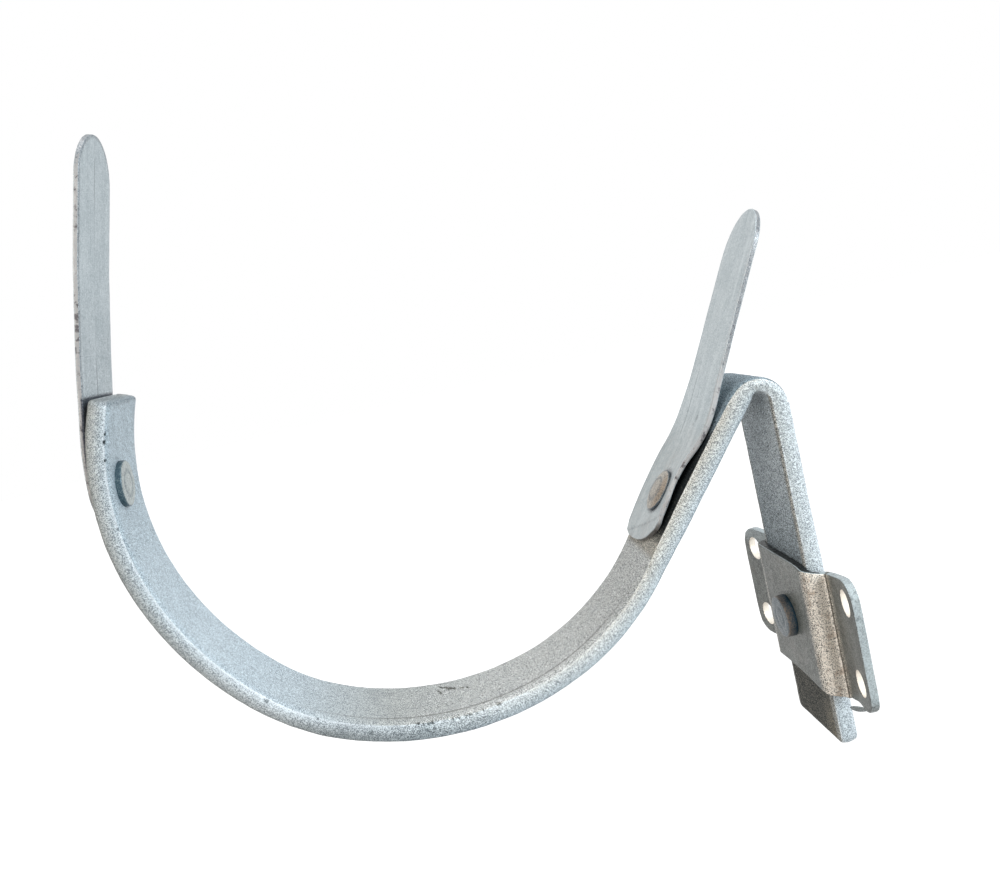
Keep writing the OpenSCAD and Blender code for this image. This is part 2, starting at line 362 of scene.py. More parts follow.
def makeZincGrain():
    # speckled hot-dip zinc: fine light and dark grains, cloudy patches and a rough surface
    group, given, out = newGroup("zincGrain", {
        "Vector": None, "Size": 0.5, "Light": (0.7, 0.7, 0.7, 1), "Dark": (0.4, 0.4, 0.4, 1),
        "Contrast": 1.0, "Cloud": 0.4, "Gloss": 0.5},
        ("Colour", "Roughness", "Height", "Fine", "Deep"))
    perMetre = mathNode(group, "DIVIDE", 1000.0, given["Size"])
    fine, mid, cloud = [
        noiseNode(group, given["Vector"], times(group, perMetre, scale), detail, roughness)
        for scale, detail, roughness in ((1.0, 2, 0.6), (0.3, 3, 0.6), (0.045, 3, 0.55))]
    both = plus(group, times(group, fine, 0.72), times(group, mid, 0.28))
    spread = times(group, minus(group, both, 0.5), given["Contrast"])
    patch = times(group, minus(group, cloud, 0.5), given["Cloud"])
    level = plus(group, plus(group, spread, patch), 0.5, clamp=True)
    return putOut(group, out, {
        "Colour": mixColours(group, level, given["Dark"], given["Light"]),
        "Roughness": minus(group, given["Gloss"], times(group, level, 0.12)),
        "Height": both, "Fine": fine, "Deep": minus(group, 1.0, fine)})   # high in the dark grains


def makeRolledLines():
    # fine lines that rolling leaves along a sheet, read from the sheet's own length and width
    group, given, out = newGroup("rolledLines", {
        "Vector": None, "Length": 18.0, "Width": 900.0, "Centre": 0.0},
        ("Lines", "Streaks", "Middle"))
    parts = addNode(group, "SeparateXYZ", {0: given["Vector"]}).outputs
    stretched = addNode(group, "CombineXYZ", {
        0: times(group, parts[0], given["Length"]),
        1: times(group, parts[1], given["Width"])}).outputs[0]
    wide = addNode(group, "VectorMath", {0: stretched, 1: (0.6, 0.22, 1)},
                   operation="MULTIPLY").outputs[0]
    # one drawn line along the middle, that wanders a little
    sway = noiseNode(group, given["Vector"], 60.0, 2, 0.5)
    wander = times(group, minus(group, sway, 0.5), 0.0006)
    return putOut(group, out, {
        "Lines": noiseNode(group, stretched, 1.0, 4, 0.6),
        "Streaks": noiseNode(group, wide, 1.0, 2, 0.5),
        "Middle": lineNode(group, plus(group, parts[1], wander), given["Centre"], 0.00012,
                           0.00042)})


def makeSpots():
    # scattered marks of one size: a mask with soft rims, broken up by noise
    group, given, out = newGroup(
        "spots", {"Vector": None, "Scale": 200.0, "Amount": 0.3}, ("Mask",))
    broad = noiseNode(group, given["Vector"], given["Scale"], 4, 0.65, 0.3)
    return putOut(group, out, {"Mask": rangeNode(
        group, broad, minus(group, 0.78, given["Amount"]), minus(group, 0.88, given["Amount"]))})


def makeBroken():
    # a painted mask whose rim breaks up into grains: Noise pushes the mask's level about
    group, given, out = newGroup(
        "brokenMask", {"Mask": 0.0, "Noise": 0.5, "Break": 1.0}, ("Mask",))
    push = times(group, minus(group, given["Noise"], 0.5), given["Break"])
    held = times(group, given["Mask"], 4.0, clamp=True)   # a bare place stays bare
    return putOut(group, out, {
        "Mask": plus(group, given["Mask"], times(group, push, held), clamp=True)})


zincGrain, rolledLines = makeZincGrain(), makeRolledLines()
spots, brokenMask = makeSpots(), makeBroken()
print("node groups made")


def hexColour(text):
    # a colour as it is written on a paint card, in linear light
    out = []
    for i in (0, 2, 4):
        c = int(text[i:i + 2], 16) / 255
        out.append(c / 12.92 if c <= 0.04045 else ((c + 0.055) / 1.055) ** 2.4)
    return (*out, 1.0)


def placeGroup(tree, group, values):
    return addNode(tree, "Group", values, node_tree=group).outputs


def clearTree(owner):
    owner.use_nodes = True
    owner.node_tree.nodes.clear()
    return owner.node_tree


def startMaterial(name, f):
    # the shader, the piece's own places, the four painted masks and the grain
    material = bpy.data.materials.new(name)
    tree = clearTree(material)
    shader = addNode(tree, "BsdfPrincipled", {"Metallic": f["metal"]})
    addNode(tree, "OutputMaterial", {0: shader.outputs[0]})
    where = addNode(tree, "TexCoord").outputs
    tone = addNode(tree, "Attribute", attribute_name="tone", attribute_type="GEOMETRY")
    parts = addNode(tree, "SeparateColor", {0: tone.outputs["Color"]}).outputs
    # the second mask holds dirt and dark marks together with painted shade and shadow
    masks = {"edge": parts[0], "grimeAndShade": parts[1], "warm": parts[2], "cool": tone.outputs["Alpha"]}
    grain = placeGroup(tree, zincGrain, {
        "Vector": where["Object"], "Size": f["grain"], "Light": hexColour(f["light"]),
        "Dark": hexColour(f["dark"]), "Contrast": f["contrast"], "Cloud": f["cloud"],
        "Gloss": f["gloss"]})
    return material, tree, shader, where, masks, grain


def placeSpots(tree, where, f):
    return placeGroup(tree, spots, {"Vector": where["Object"], "Scale": f["spotScale"],
                                    "Amount": f["spotAmount"]})["Mask"]


def tintBy(tree, colour, grain, mask, text, strength, breakUp, blend="MIX", noiseName="Fine"):
    broken = placeGroup(tree, brokenMask, {"Mask": mask, "Noise": grain[noiseName],
                                           "Break": breakUp})
    return mixColours(tree, times(tree, broken["Mask"], strength), colour, hexColour(text), blend)


def tintAll(tree, colour, grain, masks, f, names):
    for name in names:
        colour = tintBy(tree, colour, grain, masks[name], *f[name])
    return colour


def finishMaterial(tree, shader, f, masks, colour, roughness, height):
    bump = addNode(tree, "Bump", {"Strength": f["bump"], "Distance": bumpDepth,
                                  "Height": height})
    tree.links.new(colour, shader.inputs["Base Color"])
    tree.links.new(roughness, shader.inputs["Roughness"])
    tree.links.new(bump.outputs[0], shader.inputs["Normal"])
    if "noSheen" in f:   # deep shadow and dirt keep no sheen
        low, high, metal = f["noSheen"]
        dull = rangeNode(tree, masks["grimeAndShade"], low, high, f["metal"], metal)
        tree.links.new(dull, shader.inputs["Metallic"])


bumpDepth = 0.3 * mm

# In each finish a mask has its colour, its strength, how far its rim breaks up, and its blend
barFinish = {
    "light": "DADDDC", "dark": "8A8F92", "metal": 0.12, "gloss": 0.56, "grain": 0.25,
    "contrast": 13.0, "cloud": 1.2, "bump": 0.3, "noSheen": (0.3, 1.3, 1.0),
    "rougherInGrimeAndShade": (0.3, 1.0, 0.0, 0.42),
    # the cool and warm tints paint the colour of the light falling on each stretch of the bar:
    # painted light
    "cool": ("CDE5F4", 0.9, 0.6, "MULTIPLY"), "warm": ("DCC9A8", 0.9, 0.8, "MULTIPLY"),
    # the pale edge colour is partly a painted highlight on the crease and near sides, and the
    # near-black grime colour paints dirt and marks together with shade and shadow
    "edge": ("EDF4F8", 0.7, 3.2), "grimeAndShade": ("0A1418", 0.97), "grimeAndShadeBreak": 0.5,
    "spotScale": 190.0, "spotAmount": 0.05, "spotTint": "6F787C", "spotStrength": 0.4,
    # a faint rolled line beside the near crease: its place and half width across, and where
    # along the bar it comes and goes
    "line": ("5A5650", 0.6, 1.2), "lineAt": -10.9 * mm, "lineHalf": (0.0002, 0.0006),
    "lineRise": (0.1, 0.15), "lineFall": (0.2, 0.225),
    # the rear arm and the upper leg carry the strongest speckle: how much more the dark
    # grains break up, and where along the bar, in metres
    "speckle": 3.0, "speckleRise": (0.13, 0.16), "speckleFall": (0.3, 0.36), "legSpeckle": 0.3}


def makeBarMaterial(f):
    material, tree, shader, where, masks, grain = startMaterial("hotDipZinc", f)
    stains = times(tree, placeSpots(tree, where, f), f["spotStrength"])
    colour = mixColours(tree, stains, grain["Colour"], hexColour(f["spotTint"]))
    colour = tintAll(tree, colour, grain, masks, f, ("cool", "warm", "edge"))
    places = addNode(tree, "SeparateXYZ", {0: where["UV"]}).outputs
    line = times(tree, lineNode(tree, places[1], f["lineAt"], *f["lineHalf"]),
                 bandNode(tree, places[0], f["lineRise"], f["lineFall"]))
    colour = tintBy(tree, colour, grain, line, *f["line"])
    speckle = bandNode(tree, places[0], f["speckleRise"], f["speckleFall"], f["speckle"],
                       f["legSpeckle"])
    # dirt and dark marks with painted shade and shadow, broken up by the dark grains
    colour = tintBy(tree, colour, grain, masks["grimeAndShade"], *f["grimeAndShade"],
                    plus(tree, speckle, f["grimeAndShadeBreak"]), noiseName="Deep")
    rougher = rangeNode(tree, masks["grimeAndShade"], *f["rougherInGrimeAndShade"])
    roughness = plus(tree, grain["Roughness"], rougher, clamp=True)
    finishMaterial(tree, shader, f, masks, colour, roughness, grain["Height"])
    return material


strapFinish = {
    "light": "C6CED1", "dark": "9CA7AB", "metal": 0.25, "gloss": 0.46, "grain": 0.38,
    "contrast": 4.4, "cloud": 1.0, "bump": 0.22,
    "line": "4E5A60", "lineAt": -0.4 * mm, "linesPerLength": 16.0, "linesPerWidth": 1500.0,
    "streak": "8B979D", "streakStrength": 0.42, "streakLevels": (0.36, 0.66),
    "pale": "DCE4E6", "paleStrength": 0.3, "paleLevels": (0.5, 0.75),
    "lineHeight": 0.6, "grainHeight": 0.6,
    "edge": ("A5A2A0", 0.85, 2.6), "warm": ("B9A48E", 0.8, 1.0, "MULTIPLY"),
    # the dark navy grime colour paints dirt and dents together with painted shade and shadow
    "grimeAndShade": ("141C2E", 0.95, 1.5, "MIX", "Deep"),
    "spotScale": 520.0, "spotAmount": 0.24, "spotTint": "3A3238", "spotStrength": 0.8}


def makeStrapMaterial(f):
    material, tree, shader, where, masks, grain = startMaterial("rolledSheetZinc", f)
    lines = placeGroup(tree, rolledLines, {
        "Vector": where["UV"], "Length": f["linesPerLength"], "Width": f["linesPerWidth"],
        "Centre": f["lineAt"]})
    streak = times(tree, rangeNode(tree, lines["Lines"], *f["streakLevels"]), f["streakStrength"])
    colour = mixColours(tree, streak, grain["Colour"], hexColour(f["streak"]))
    pale = times(tree, rangeNode(tree, lines["Streaks"], *f["paleLevels"]), f["paleStrength"])
    colour = mixColours(tree, pale, colour, hexColour(f["pale"]))
    # on the tongues the "cool" mask says where the drawn line shows
    colour = mixColours(tree, times(tree, lines["Middle"], masks["cool"]), colour,
                        hexColour(f["line"]))
    colour = tintBy(tree, colour, grain, masks["edge"], *f["edge"])
    speck = times(tree, placeSpots(tree, where, f), masks["edge"])
    colour = mixColours(tree, times(tree, speck, f["spotStrength"]), colour,
                        hexColour(f["spotTint"]))
    colour = tintAll(tree, colour, grain, masks, f, ("warm", "grimeAndShade"))
    height = plus(tree, times(tree, lines["Lines"], f["lineHeight"]),
                  times(tree, grain["Height"], f["grainHeight"]))
    finishMaterial(tree, shader, f, masks, colour, grain["Roughness"], height)
    return material


plateFinish = {
    "light": "7B7E78", "dark": "373B38", "metal": 0.15, "gloss": 0.5, "grain": 0.38,
    "contrast": 5.2, "cloud": 1.2, "bump": 0.35, "noSheen": (0.4, 1.0, 0.9),
    "cool": ("F8EFE2", 0.92, 4.6), "rust": ("A48B74", 0.8, 1.0, "MULTIPLY"),
    # the grime colour paints the plate's dark finish and dirt together with painted shade
    "edge": ("B6C1C4", 0.85, 1.8), "grimeAndShade": ("1A2024", 0.95, 0.8, "MIX", "Deep"),
    "spotScale": 260.0, "spotAmount": 0.26,
    # dark line in the crease of each flange: place across, half width and strength
    "crease": ("3A3020", 1.0, 0.8), "creaseAt": 23.0 * mm, "creaseHalf": (0.00025, 0.0006, 0.85)}


def makePlateMaterial(f):
    material, tree, shader, where, masks, grain = startMaterial("weatheredPlateZinc", f)
    places = addNode(tree, "SeparateXYZ", {0: where["UV"]}).outputs
    across = mathNode(tree, "ABSOLUTE", places[0])
    # on the plate the "cool" mask marks where the sheet is pale and speckled, and beside the near
    # fold it paints light into the shaded corner
    colour = tintBy(tree, grain["Colour"], grain, masks["cool"], *f["cool"])
    rust = times(tree, placeSpots(tree, where, f), masks["warm"])
    colour = tintBy(tree, colour, grain, rust, *f["rust"])
    colour = tintAll(tree, colour, grain, masks, f, ("edge", "grimeAndShade"))
    line = lineNode(tree, across, f["creaseAt"], *f["creaseHalf"])
    colour = tintBy(tree, colour, grain, line, *f["crease"])
    finishMaterial(tree, shader, f, masks, colour, grain["Roughness"], grain["Height"])
    return material


rivetFinish = {
    "light": "C4BFB4", "dark": "7F7C76", "metal": 0.15, "gloss": 0.45, "grain": 0.38,
    "contrast": 5.5, "cloud": 0.8, "bump": 0.35, "noSheen": (0.3, 1.0, 0.9),
    "cool": ("B4D2E2", 0.95, 0.8, "MULTIPLY"), "warm": ("B58F62", 0.8, 1.0, "MULTIPLY"),
    # the grime colour paints the heads' dark faces and dirt together with painted shade on their
    # walls
    "edge": ("E4E4DE", 0.7, 1.6), "grimeAndShade": ("153A4B", 0.95, 0.8, "MIX", "Deep")}


def makeRivetMaterial(f):
    material, tree, shader, where, masks, grain = startMaterial("rivetZinc", f)
    colour = tintAll(tree, grain["Colour"], grain, masks, f, ("cool", "warm", "edge", "grimeAndShade"))
    finishMaterial(tree, shader, f, masks, colour, grain["Roughness"], grain["Height"])
    return material


barMaterial = makeBarMaterial(barFinish)
strapMaterial = makeStrapMaterial(strapFinish)
plateMaterial = makePlateMaterial(plateFinish)
rivetMaterial = makeRivetMaterial(rivetFinish)
print("materials made")


# Lengths along the bar run from the front end: cradle to 225, arm to 279, leg from 293 to 397
bar = {
    "width": 30.3, "thick": 5.5, "insideRadius": 75.8,
    "shoulder": (2.8, 0.55),   # how far in from the edge, and how deep, the inner face rounds off
    "crease": 0.45, "outerCorner": 1.5, "sideCrown": 0.35,
    "frontEnd": 156.3,   # where the cradle ends, in degrees round its centre
    "armSlope": 50.3,    # slope of the rear arm, in degrees
    "foldOuter": 8.8, "foldInner": 2.5, "legReach": 102.2, "cradleRise": 78.0, "legTail": 37.9,
    "frontRound": (0.8, 1.6), "legRound": (2.5, 2.6),   # rounding through the thickness, across
    "step": 0.62, "endReach": 2.8,   # spacing of the sections, and where they stand closer
    "unevenness": 0.06,
    "legFrom": 286,   # from here, on the crown of the fold, it is finished as the leg is
    # how far the bent bar strays from a true circle, by degrees, outer face and inner face
    "outerStray": [(156, 0.5), (186, 0.5), (192, 0.3), (198, 0.12), (210, 0.05), (219, 0.2),
        (228, 0.55), (234, 0.78), (240, 0.95), (246, 0.74), (252, 0.52), (264, 0.3), (276, 0.22),
        (288, 0.32), (296, 0.48), (306, 0.38), (316, 0.2), (320.3, 0.0)],
    "innerStray": [(156, 0.35), (166, 0.2), (180, 0.15), (190, 0.0), (205, -0.2), (216, -0.08),
        (224, 0.22), (231, 0.72), (238, 0.88), (246, 0.58), (254, 0.35), (262, 0.05), (280, 0.0),
        (288, 0.22), (298, 0.22), (306, 0.05), (320.3, 0.0)],
    # the same along the straight arm, by distance up it
    "armOuter": [(0, 0.0), (14, 0.3), (50, 0.3), (62, 0.0)],
    "armInner": [(0, 0.0), (10, -0.2), (22, -0.45), (44, -0.45), (58, -0.1)],
    "armShoulder": [(212, 1.0), (232, 0.15), (276, 0.15), (290, 1.0)],
    # the back of the leg stands proud of a true plane, by height
    "backStray": [(-40, 0.6), (0, 0.5), (20, 0.55), (36, 0.3), (60, 0.35), (80, 0.0)],
    # masks of the narrow sides by length, each at the inner and at the outer edge of the side:
    # edge, grime and shade, warm, cool; their lighter, darker, warm and cool stretches are
    # painted light and shade, for how the light falls along the near side
    "nearSide": [(0, 0.4, 0.0, 0.1, 0.52, 0.0, 0.5, 0.7, 0.35),
        (60, 0.45, 0.0, 0.08, 0.44, 0.0, 0.25, 0.8, 0.35),
        (100, 0.75, 0.0, 0.0, 0.38, 0.0, 0.2, 0.6, 0.3),
        (120, 0.45, 0.0, 0.3, 0.48, 0.0, 0.2, 0.5, 0.5),
        (145, 0.25, 0.05, 0.22, 0.4, 0.1, 0.1, 0.5, 0.7),
        (170, 0.35, 0.15, 0.02, 0.1, 0.3, 0.0, 0.3, 0.8),
        (200, 0.3, 0.3, 0.0, 0.02, 0.5, 0.0, 0.1, 0.7),
        (225, 0.2, 0.4, 0.04, 0.0, 0.75, 0.0, 0.0, 0.8),
        (272, 0.1, 0.15, 0.14, 0.1, 0.7, 0.0, 0.0, 0.6),
        (293, 0.15, 0.05, 0.06, 0.1, 0.0, 0.3, 0.3, 0.4),
        (330, 0.4, 0.12, 0.04, 0.04, 0.0, 0.2, 0.3, 0.5),
        (350, 0.4, 0.1, 0.06, 0.06, 0.0, 0.2, 0.3, 0.5),
        (397, 0.25, 0.1, 0.03, 0.08, 0.0, 0.0, 0.4, 0.6)],
    # masks of the flat faces by length: the inner face, whose cool and warm tints and darkening
    # paint the light on each stretch, the painted shadow under the rear tongue with teal up
    # towards the fold, and the dark on the leg's face, partly its own colour and partly painted
    # shade
    "flats": {
        "cool": [(0, 0.75), (40, 0.9), (90, 0.85), (120, 0.45), (145, 0.2), (170, 0.0), (262, 0.0),
            (270, 1.0)],
        "warm": [(0, 0.0), (105, 0.0), (120, 0.2), (135, 0.42), (165, 0.55), (200, 0.66),
            (225, 0.66), (262, 0.3), (270, 0.0)],
        "pale": [(0, 0.1), (30, 0.2), (50, 0.36), (80, 0.4), (112, 0.2), (135, 0.15), (165, 0.45),
            (190, 0.56), (227, 0.56), (229, 0.0)],
        "dark": [(0, 0.0), (90, 0.0), (112, 0.12), (128, 0.26), (150, 0.34), (170, 0.34),
            (190, 0.36), (215, 0.46), (227, 0.46)],
        "under": [(226, 0.0), (230, 0.25), (234, 0.9), (238, 1.4), (265, 1.4), (269, 0.85),
            (274, 0.34), (281, 0.12), (288, 0.05)],
        "front": [(286, 0.4), (300, 0.38), (318, 0.45), (330, 0.54), (343, 0.67), (366, 0.82),
            (374, 0.9), (397, 0.89)]},
    # dents and dark marks: length, place through the thickness, across, size, strength, depth
    "marks": [(8.3, 2.6, -14.5, 0.62, 1.3, 0.2), (10.6, 2.5, -14.8, 0.75, 1.3, 0.3),
        (15.5, 2.5, -14.8, 0.65, 1.2, 0.2), (34.5, 2.2, -15, 0.6, 0.6, 0.2),
        (98.3, 1.5, -15, 0.7, 0.6, 0.15), (113.3, 2.3, -15, 0.7, 0.8, 0.15),
        (111.8, -2.1, -15, 2.2, 0.4, 0.05), (117, -1.9, -15, 1.6, 0.5, 0.05),
        (122.5, -1.5, -15, 1.2, 0.35, 0.05), (128.8, 0.4, -15, 0.8, 0.6, 0.1),
        (144.1, -0.9, -15, 3.0, 0.25, 0.0), (337.7, -2.75, -4.0, 0.6, 0.7, 0.1),
        (339.5, -2.75, -5.2, 0.5, 0.6, 0.1)],
    # rows of small dark specks: from, to (length, across), how many, size
    "scuffs": [((147.4, 11.5), (153.4, 6.2), 16, 0.55), ((153.4, 6.2), (158.2, 4.2), 9, 0.5),
        ((148, 9.0), (150, 3.0), 6, 0.45), ((140.0, -14.4), (157.5, -14.8), 14, 0.5),
        ((159.0, -14.6), (166.0, -14.6), 4, 0.45)]}

legFace = fasciaX - legClear - bar["thick"]
cradle = np.array((legFace - bar["legReach"], bar["cradleRise"]))
slope = radians(bar["armSlope"])
armDir = np.array((cos(slope), sin(slope)))
armOut = np.array((sin(slope), -cos(slope)))


def onArm(run, out):
    return cradle + run * armDir + out * armOut


def barStations(b):
    # pairs of points, one on each wide face, from the front end round to the foot of the leg
    inner, outer = b["insideRadius"], b["insideRadius"] + b["thick"]
    pairs = []
    endAngle = radians(270 + b["armSlope"])
    startAngle = radians(b["frontEnd"])
    count = int((endAngle - startAngle) * inner / b["step"])
    for a in np.linspace(startAngle, endAngle, count):
        way = np.array((cos(a), sin(a)))
        pairs.append((cradle + (inner + tableValue(degrees(a), b["innerStray"])) * way,
                      cradle + (outer + tableValue(degrees(a), b["outerStray"])) * way))
    legBack = legFace + b["thick"]
    foldX = legBack - b["foldOuter"], legFace - b["foldInner"]
    foldOut = inner + b["foldOuter"], outer + b["foldInner"]
    runs = [(x - cradle[0] - out * armOut[0]) / armDir[0] for x, out in zip(foldX, foldOut)]
    mids = [onArm(run, out) for run, out in zip(runs, foldOut)]
    count = int(runs[0] / b["step"])
    for t in np.linspace(0, 1, count)[1:-1]:
        pairs.append((onArm(runs[0] * t, inner + tableValue(runs[0] * t, b["armInner"])),
                      onArm(runs[1] * t, outer + tableValue(runs[1] * t, b["armOuter"]))))
    for a in np.linspace(radians(90 + b["armSlope"]), 0, 40):
        way = np.array((cos(a), sin(a)))
        pairs.append((mids[0] + b["foldOuter"] * way, mids[1] + b["foldInner"] * way))
    count = int((mids[0][1] + b["legTail"]) / b["step"])
    for t in np.linspace(0, 1, count)[1:]:
        z = mids[0][1] * (1 - t) - b["legTail"] * t
        pairs.append((np.array((legBack + tableValue(z, b["backStray"]), z)),
                      np.array((legFace, mids[1][1] * (1 - t) - b["legTail"] * t))))
    return np.array(pairs)


def sectionLoop(halfThick, halfWidth, b, rounding=1.0, onLeg=False):
    # once round the section: (through the thickness, across, which face it is on)
    # the inner face rounds off to a crisp crease, the outer corners are plain fillets
    reach, drop = b["shoulder"]
    crease = b["crease"] * (0.4 + 0.6 * rounding)
    corner = min(b["outerCorner"] * (0.45 if onLeg else 1.0), halfThick * 0.8)
    drop = min(drop, halfThick * 0.3) * rounding
    edge = halfWidth - b["sideCrown"]
    half = [(halfThick, y, "inner") for y in np.linspace(0, edge - reach, 12)[1:]]
    for k in range(1, 5):
        x = k / 4
        half.append((halfThick - drop * x ** 2, edge - reach + (reach - crease) * x, "inner"))
    for k in range(1, 4):
        a = radians(66 * (1 - k / 3))
        half.append((halfThick - drop - crease * (1 - sin(a)),
                     edge - crease * (1 - cos(a)), "crease"))
    top, bottom = halfThick - drop - crease, -halfThick + corner
    for k in range(1, 9):
        x = k / 9
        crown = b["sideCrown"] * (1 - (2 * x - 1) ** 2)
        half.append((top + (bottom - top) * x, edge + crown, "side"))
    for k in range(6):
        a = radians(90 * k / 5)
        half.append((bottom - corner * sin(a), edge - corner * (1 - cos(a)), "corner"))
    half += [(-halfThick, y, "outer") for y in np.linspace(edge - corner, 0, 12)[1:-1]]
    ring = [(halfThick, 0.0, "inner")] + half + [(-halfThick, 0.0, "outer")]
    return ring + [(t, -w, part) for t, w, part in reversed(half)]


def edgeInset(distance, radius):
    if distance >= radius:
        return 0.0
    return radius - sqrt(max(0.0, radius ** 2 - (radius - distance) ** 2))


def barTone(b, s, t, w, part, rowNow, flats):
    # the four masks at a place: edge, grime and painted shade, warm, cool
    u = min(1.0, max(0.0, (t / (b["thick"] / 2) + 1) / 2))
    onLeg = s > b["legFrom"]
    cap = 0.42 * fade(s, 0.5, 1.5)   # dull cut end
    if part == "inner":
        # under the rear tongue the dark is painted shadow, and towards the rear arm the inner face
        # is painted darker as shade
        grimeAndShade = max(flats["under"], flats["dark"], cap)
        return [flats["pale"], grimeAndShade, flats["warm"], flats["cool"]]
    if part == "outer":
        if not onLeg:
            return [0.05, 0.1, 0.15, 0.15]
        # down the leg its face darkens: partly its own colour, partly painted shade
        brown = smoothStep(s, 378, 392) * smoothStep(-w, 5, 12)
        return [0.35 * fade(s, 300, 350), flats["front"] - 0.2 * brown,
                0.9 * brown + 0.6 * smoothStep(s, 366, 378) * (1 - brown),
                0.6 * fade(s, 355, 372)]
    values = [rowNow[2 * k + 1] * u + rowNow[2 * k + 2] * (1 - u) for k in range(4)]
    # the crease is lightened as a painted highlight, and up the rear arm warmed as painted warm
    # light
    if part == "crease":
        values[0] = min(1.0, values[0] + (0.4 if s < 130 else 0.25))
        if s > 175 and not onLeg:
            values[2] = min(1.0, values[2] + 0.4)
    # on the leg the corner's rounding next to its face is painted dark as shade
    if part == "corner" and onLeg:
        line = fade(t, 0.2 - b["thick"] / 2, 0.42 - b["thick"] / 2)
        values = [0.5 * (1 - line), 0.04 + 0.5 * line, 0.15 + 0.2 * line, 0.3 * (1 - line)]
    values[1] = max(values[1], cap)
    return values


def buildBar(b):
    pairs = barStations(b)
    mids = pairs.mean(1)
    run = np.r_[0, np.cumsum(np.linalg.norm(np.diff(mids, axis=0), axis=1))]
    # sections stand closer together over the rounded ends
    near = [b["endReach"] * (1 - cos(a)) for a in np.linspace(0.05, pi / 2, 9)]
    past = b["endReach"] + 0.1
    stops = near + [s for s in run if past < s < run[-1] - past]
    stops += [run[-1] - d for d in reversed(near)]
    nearTable = np.array(b["nearSide"])
    verts, faces, uvs, tones, rings = [], [], [], [], []

    def frameAt(s):
        face = [np.array([np.interp(s, run, pairs[:, k, c]) for c in (0, 1)]) for k in (0, 1)]
        thick = np.linalg.norm(face[0] - face[1])
        return (face[0] + face[1]) / 2, (face[0] - face[1]) / thick, thick

    for s in stops:
        mid, across, thick = frameAt(s)
        gap, (through, corner) = min((s, b["frontRound"]), (run[-1] - s, b["legRound"]))
        inThick = edgeInset(gap, through)
        inWide = max(edgeInset(gap, corner), inThick)
        rounding = tableValue(s, b["armShoulder"])
        rowNow = [np.interp(s, nearTable[:, 0], nearTable[:, k]) for k in range(9)]
        flats = {name: tableValue(s, table) for name, table in b["flats"].items()}
        ring = []
        for t, w, part in sectionLoop(thick / 2 - inThick, b["width"] / 2 - inWide, b, rounding,
                                      s > b["legFrom"] - 2):
            p = np.array((mid[0] + across[0] * t, w, mid[1] + across[1] * t))
            outward = np.array((across[0] * t / (thick / 2), 0, across[1] * t / (thick / 2)))
            if part in ("side", "crease", "corner"):
                outward[1] = copysign(0.8, w)
            bumpiness = rough(p, 7.0) + 0.6 * rough(p, 2.6, 9) + 0.45 * rough(p, 1.2, 5)
            verts.append(p + outward * b["unevenness"] * bumpiness)
            uvs.append((s, w))
            tones.append(barTone(b, s, t, w, part, rowNow, flats))
            ring.append(len(verts) - 1)
        rings.append(ring)
    verts, tones = np.array(verts), np.array(tones)
    marks = list(b["marks"])
    seeded = np.random.RandomState(4)
    for start, end, count, size in b["scuffs"]:
        for k in range(count):
            x = seeded.rand()
            s, w = (a + (c - a) * x for a, c in zip(start, end))
            t = 2.2 if w < -14 else 2.75
            marks.append((s + seeded.randn() * 0.5, t, w + seeded.randn() * 0.35,
                          size * (0.7 + 0.6 * seeded.rand()), 0.9, 0.08))
    for s, t, w, size, strength, depth in marks:
        mid, across, thick = frameAt(s)
        centre = np.array((mid[0] + across[0] * t, w, mid[1] + across[1] * t))
        inward = -np.array((across[0] * t, w / 15 * 2 if abs(w) > 14 else 0, across[1] * t))
        inward /= np.linalg.norm(inward)
        far = np.linalg.norm(verts - centre, axis=1) / size
        soft = np.clip(1.15 - far, 0, 1)
        tones[:, 1] = np.maximum(tones[:, 1], strength * np.clip(soft * 1.6, 0, 1))
        tones[:, 0] *= 1 - np.clip(soft * 2, 0, 1)
        verts += inward * (depth * soft)[:, None]
    verts, tones = list(verts), [tuple(t) for t in tones]
    for a, c in zip(rings[:-1], rings[1:]):
        joinRings(faces, c, a)
    closeEnd(verts, faces, uvs, tones, rings[0], (0.0, 0.45, 0.1, 0.5), False)
    closeEnd(verts, faces, uvs, tones, rings[-1], (0.0, 0.25, 0.1, 0.4), True)
    return verts, faces, uvs, tones


makePiece("hookBar", *buildBar(bar), barMaterial, "hook_bar", "bar")
print("bar made")


rivetRise = 6.6      # height of the front rivet above the cradle's centre, as an angle
sheetStep = 0.7      # spacing of the points on the tongues
tongueShear = 0.08   # how ragged their sheared edges are

frontTongue = {
    "width": 25.0, "thick": 1.4, "rim": 0.25,
    "down": 12.5, "up": 94.0,   # how far it reaches below and above its rivet
    "twist": 2.1,               # degrees that it has been twisted, above the rivet
    # place of its outer face at the near edge: height, and reach from the cradle's centre
    "path": [(60, -82.6), (72, -82.6), (80, -82.6), (84.3, -82.53), (88.6, -82.22),
        (92.9, -81.65), (97.1, -81.07), (101.2, -80.26), (105.3, -79.31), (109.4, -78.33),
        (114, -77.32), (119, -76.15), (124, -74.87), (129, -73.54), (134, -72.24), (138.9, -70.9),
        (143.8, -69.62), (148.6, -68.17), (153.5, -66.72), (158.3, -65.26), (163, -63.87),
        (170, -61.8), (190, -55.8)]}


